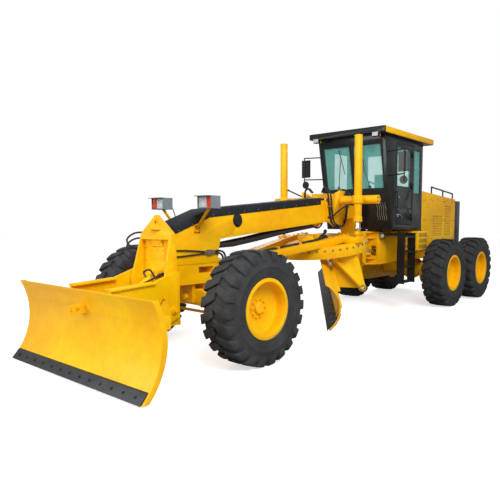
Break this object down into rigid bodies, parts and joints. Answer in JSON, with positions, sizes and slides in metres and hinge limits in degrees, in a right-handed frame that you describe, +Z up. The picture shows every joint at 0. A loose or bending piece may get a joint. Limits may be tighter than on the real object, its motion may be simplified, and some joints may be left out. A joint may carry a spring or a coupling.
{
  "type": "motor grader",
  "caption": "Articulated three-axle motor grader with a front dozer blade, a mid-mounted moldboard on a turning circle and a closed cab.",
  "frame": {"origin": "on the ground under the middle of the machine's box", "axes": "+X forward, +Y to the machine's left, +Z up"},
  "size_m": [9.6803, 2.7209, 3.262],
  "materials": {
    "yellow_paint": "glossy machine enamel",
    "black_paint": "satin black enamel",
    "tyre_rubber": "matt tread rubber",
    "cab_glass": "green-tinted safety glass",
    "steel": "worn steel",
    "dark_steel": "dark cast steel",
    "lamp_grey": "moulded grey plastic",
    "hose": "black hose cover",
    "seat_fabric": "dark seat cloth",
    "rail_grey": "grey enamel"
  },
  "bodies": {
    "rear_frame": {"rear_frame": "yellow_paint", "engine_block": "dark_steel", "hood": "yellow_paint", "radiator_guard": "black_paint", "hood_rail": "rail_grey", "rear_hitch": "yellow_paint", "cab_shell": "black_paint", "cab_glass": "cab_glass", "cab_roof": "black_paint", "cab_fittings": "seat_fabric", "ladder": "black_paint", "mirrors": "black_paint", "side_boxes": "yellow_paint", "articulation_cylinders": "yellow_paint"},
    "front_frame": {"gooseneck": "yellow_paint", "beam_cover": "black_paint", "lift_saddle": "yellow_paint", "lift_barrels": "yellow_paint", "dozer_mount": "yellow_paint", "headlamps": "lamp_grey", "hoses": "hose"},
    "dozer_blade": {"dozer_blade": "yellow_paint", "dozer_edge": "steel"},
    "dozer_rod": {"dozer_rod": "steel"},
    "front_axle": {"front_axle": "yellow_paint"},
    "tie_rod": {"tie_rod": "dark_steel"},
    "drawbar_ball": {"drawbar_ball": "dark_steel"},
    "drawbar": {"drawbar": "yellow_paint"},
    "circle": {"circle": "yellow_paint"},
    "blade_carrier": {"blade_carrier": "yellow_paint"},
    "moldboard": {"moldboard": "yellow_paint", "cutting_edge": "steel"},
    "lift_rods": {"lift_rods": "steel"},
    "lean_left": {"lean_bracket_left": "yellow_paint"},
    "knuckle_left": {"knuckle_left": "yellow_paint"},
    "wheel_front_left": {"tyre_front_left": "tyre_rubber", "rim_front_left": "yellow_paint"},
    "lean_right": {"lean_bracket_right": "yellow_paint"},
    "knuckle_right": {"knuckle_right": "yellow_paint"},
    "wheel_front_right": {"tyre_front_right": "tyre_rubber", "rim_front_right": "yellow_paint"},
    "tandem_left": {"tandem_left": "yellow_paint"},
    "wheel_mid_left": {"tyre_mid_left": "tyre_rubber", "rim_mid_left": "yellow_paint"},
    "wheel_rear_left": {"tyre_rear_left": "tyre_rubber", "rim_rear_left": "yellow_paint"},
    "door_left": {"door_left": "black_paint", "door_glass_left": "cab_glass"},
    "artic_rod_left": {"artic_rod_left": "steel"},
    "tandem_right": {"tandem_right": "yellow_paint"},
    "wheel_mid_right": {"tyre_mid_right": "tyre_rubber", "rim_mid_right": "yellow_paint"},
    "wheel_rear_right": {"tyre_rear_right": "tyre_rubber", "rim_rear_right": "yellow_paint"},
    "door_right": {"door_right": "black_paint", "door_glass_right": "cab_glass"},
    "artic_rod_right": {"artic_rod_right": "steel"}
  },
  "joints": [
    {"name": "articulation", "type": "hinge", "parent": "rear_frame", "child": "front_frame", "pos_m": [-0.76, 0, 1.17], "axis": [0, 0, -1], "range_deg": [-25, 25]},
    {"name": "dozer_lift", "type": "hinge", "parent": "front_frame", "child": "dozer_blade", "pos_m": [3.77, 0, 0.64], "axis": [0, -1, 0], "range_deg": [0, 25]},
    {"name": "dozer_rod_slide", "type": "slide", "parent": "front_frame", "child": "dozer_rod", "axis": [0.8201, 0, -0.5722], "range_m": [-0.26, 0.01]},
    {"name": "axle_oscillation", "type": "hinge", "parent": "front_frame", "child": "front_axle", "pos_m": [3.14, 0, 0.705], "axis": [1, 0, 0], "range_deg": [-15, 15]},
    {"name": "tie_rod_slide", "type": "slide", "parent": "front_axle", "child": "tie_rod", "axis": [0, 1, 0], "range_m": [-0.1, 0.1]},
    {"name": "lean_left_hinge", "type": "hinge", "parent": "front_axle", "child": "lean_left", "pos_m": [3.14, 0.735, 0.52], "axis": [-1, 0, 0], "range_deg": [-17, 17]},
    {"name": "steer_left", "type": "hinge", "parent": "lean_left", "child": "knuckle_left", "pos_m": [3.14, 0.8, 0.7], "axis": [0, 0, 1], "range_deg": [-35, 35]},
    {"name": "spin_front_left", "type": "hinge", "parent": "knuckle_left", "child": "wheel_front_left", "pos_m": [3.14, 1.0775, 0.662], "axis": [0, 1, 0], "continuous": true},
    {"name": "lean_right_hinge", "type": "hinge", "parent": "front_axle", "child": "lean_right", "pos_m": [3.14, -0.735, 0.52], "axis": [-1, 0, 0], "range_deg": [-17, 17]},
    {"name": "steer_right", "type": "hinge", "parent": "lean_right", "child": "knuckle_right", "pos_m": [3.14, -0.8, 0.7], "axis": [0, 0, 1], "range_deg": [-35, 35]},
    {"name": "spin_front_right", "type": "hinge", "parent": "knuckle_right", "child": "wheel_front_right", "pos_m": [3.14, -1.0775, 0.662], "axis": [0, 1, 0], "continuous": true},
    {"name": "tandem_left_oscillation", "type": "hinge", "parent": "rear_frame", "child": "tandem_left", "pos_m": [-3.08, 0.75, 0.662], "axis": [0, 1, 0], "range_deg": [-13, 13]},
    {"name": "spin_mid_left", "type": "hinge", "parent": "tandem_left", "child": "wheel_mid_left", "pos_m": [-2.31, 1.0775, 0.662], "axis": [0, 1, 0], "continuous": true},
    {"name": "spin_rear_left", "type": "hinge", "parent": "tandem_left", "child": "wheel_rear_left", "pos_m": [-3.85, 1.0775, 0.662], "axis": [0, 1, 0], "continuous": true},
    {"name": "door_left_hinge", "type": "hinge", "parent": "rear_frame", "child": "door_left", "pos_m": [-1.56, 0.716, 2.3], "axis": [0, 0, 1], "range_deg": [0, 100]},
    {"name": "artic_rod_left_slide", "type": "slide", "parent": "rear_frame", "child": "artic_rod_left", "axis": [1, 0, 0], "range_m": [-0.14, 0.14]},
    {"name": "tandem_right_oscillation", "type": "hinge", "parent": "rear_frame", "child": "tandem_right", "pos_m": [-3.08, -0.75, 0.662], "axis": [0, 1, 0], "range_deg": [-13, 13]},
    {"name": "spin_mid_right", "type": "hinge", "parent": "tandem_right", "child": "wheel_mid_right", "pos_m": [-2.31, -1.0775, 0.662], "axis": [0, 1, 0], "continuous": true},
    {"name": "spin_rear_right", "type": "hinge", "parent": "tandem_right", "child": "wheel_rear_right", "pos_m": [-3.85, -1.0775, 0.662], "axis": [0, 1, 0], "continuous": true},
    {"name": "door_right_hinge", "type": "hinge", "parent": "rear_frame", "child": "door_right", "pos_m": [-1.56, -0.716, 2.3], "axis": [0, 0, -1], "range_deg": [0, 100]},
    {"name": "artic_rod_right_slide", "type": "slide", "parent": "rear_frame", "child": "artic_rod_right", "axis": [1, 0, 0], "range_m": [-0.14, 0.14]},
    {"name": "drawbar_swing", "type": "hinge", "parent": "front_frame", "child": "drawbar_ball", "pos_m": [2.7, 0, 1.06], "axis": [0.1392, 0, 0.9903], "range_deg": [-2, 8]},
    {"name": "drawbar_lift", "type": "hinge", "parent": "drawbar_ball", "child": "drawbar", "pos_m": [2.7, 0, 1.06], "axis": [0, 1, 0], "range_deg": [-9, 1.5]},
    {"name": "lift_rods_slide", "type": "slide", "parent": "front_frame", "child": "lift_rods", "axis": [0, 0, 1], "range_m": [-0.4, 0.08]},
    {"name": "circle_rotation", "type": "hinge", "parent": "drawbar", "child": "circle", "pos_m": [0.3718, 0, 1.23573], "axis": [0.1392, 0, 0.9903], "range_deg": [-5, 85]},
    {"name": "blade_tip", "type": "hinge", "parent": "circle", "child": "blade_carrier", "pos_m": [-0.08446, 0.47281, 0.64347], "axis": [0.7803, 0.6157, -0.1097], "range_deg": [-2, 30]},
    {"name": "blade_shift", "type": "slide", "parent": "blade_carrier", "child": "moldboard", "axis": [0.7803, 0.6157, -0.1097], "range_m": [-0.8, 0.2]}
  ],
  "couplings": [
    {"joint": "lean_right_hinge", "follows": "lean_left_hinge", "ratio": 1},
    {"joint": "steer_right", "follows": "steer_left", "ratio": 1},
    {"joint": "tie_rod_slide", "follows": "steer_left", "m_per_rad": -0.16},
    {"joint": "dozer_rod_slide", "follows": "dozer_lift", "m_per_rad": -0.316},
    {"joint": "lift_rods_slide", "follows": "drawbar_lift", "m_per_rad": 2.26},
    {"joint": "artic_rod_left_slide", "follows": "articulation", "m_per_rad": 0.3},
    {"joint": "artic_rod_right_slide", "follows": "articulation", "m_per_rad": -0.3}
  ]
}
